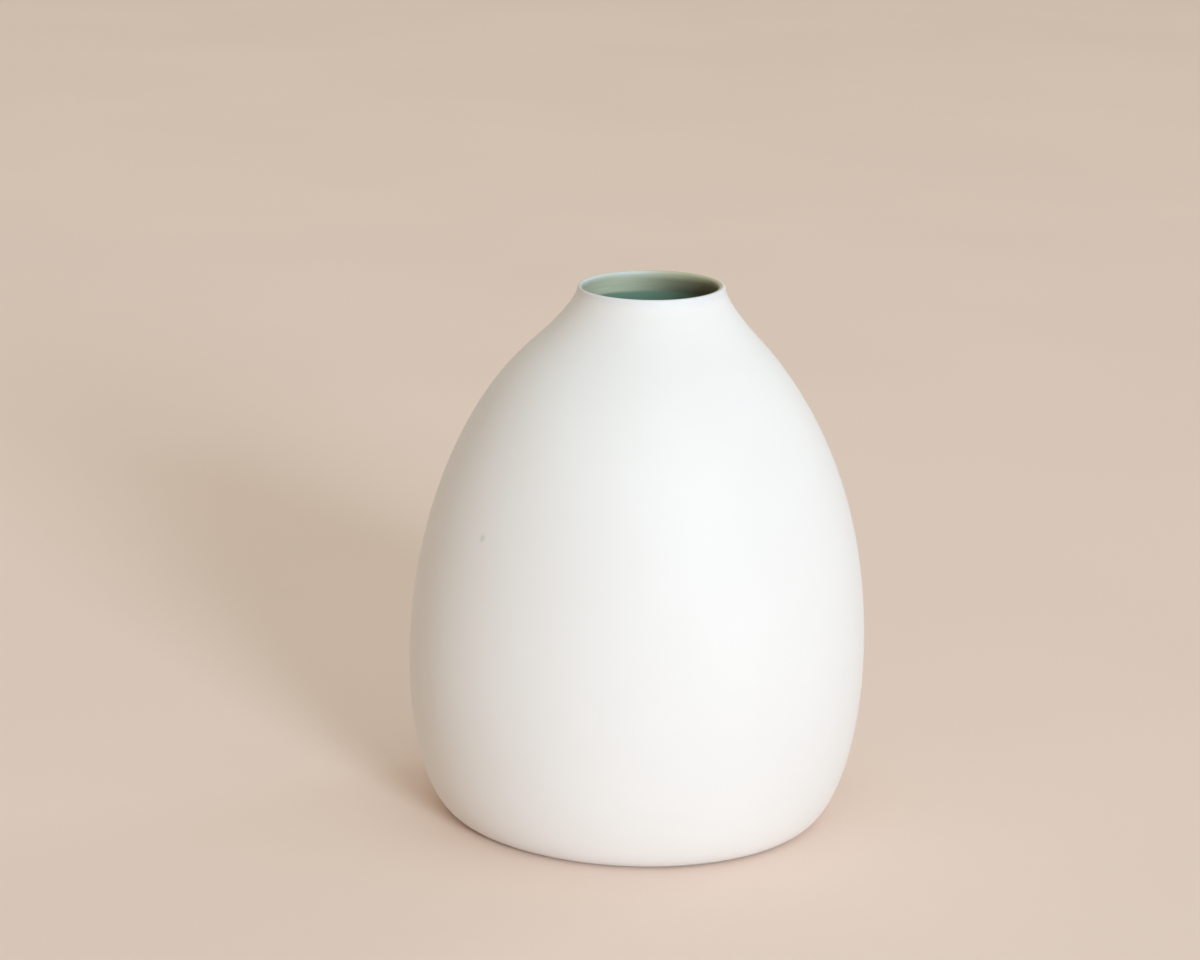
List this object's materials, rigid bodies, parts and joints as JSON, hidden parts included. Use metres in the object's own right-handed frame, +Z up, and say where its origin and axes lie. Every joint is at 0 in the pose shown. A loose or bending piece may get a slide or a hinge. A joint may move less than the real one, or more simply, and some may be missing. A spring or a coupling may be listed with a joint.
{
  "type": "bud vase",
  "caption": "Round-bellied bud vase in matt white porcelain with a short flared collar, a narrow mouth and a glossy blue-green glaze inside; stands on a foot ring and holds a few stems.",
  "frame": {"origin": "centre of the ring that the vase stands on", "axes": "+Z up along the vase's axis, through the mouth; +X and +Y are alike, because the vase is round"},
  "size_m": [0.104, 0.104, 0.123],
  "materials": {
    "bare_porcelain": "matt, unglazed, finely smoothed",
    "inner_glaze": "glossy blue-green glaze, paler where it thins at the lip"
  },
  "bodies": {
    "root": {"porcelain_body": "bare_porcelain", "glaze_lining": "inner_glaze"}
  },
  "joints": []
}
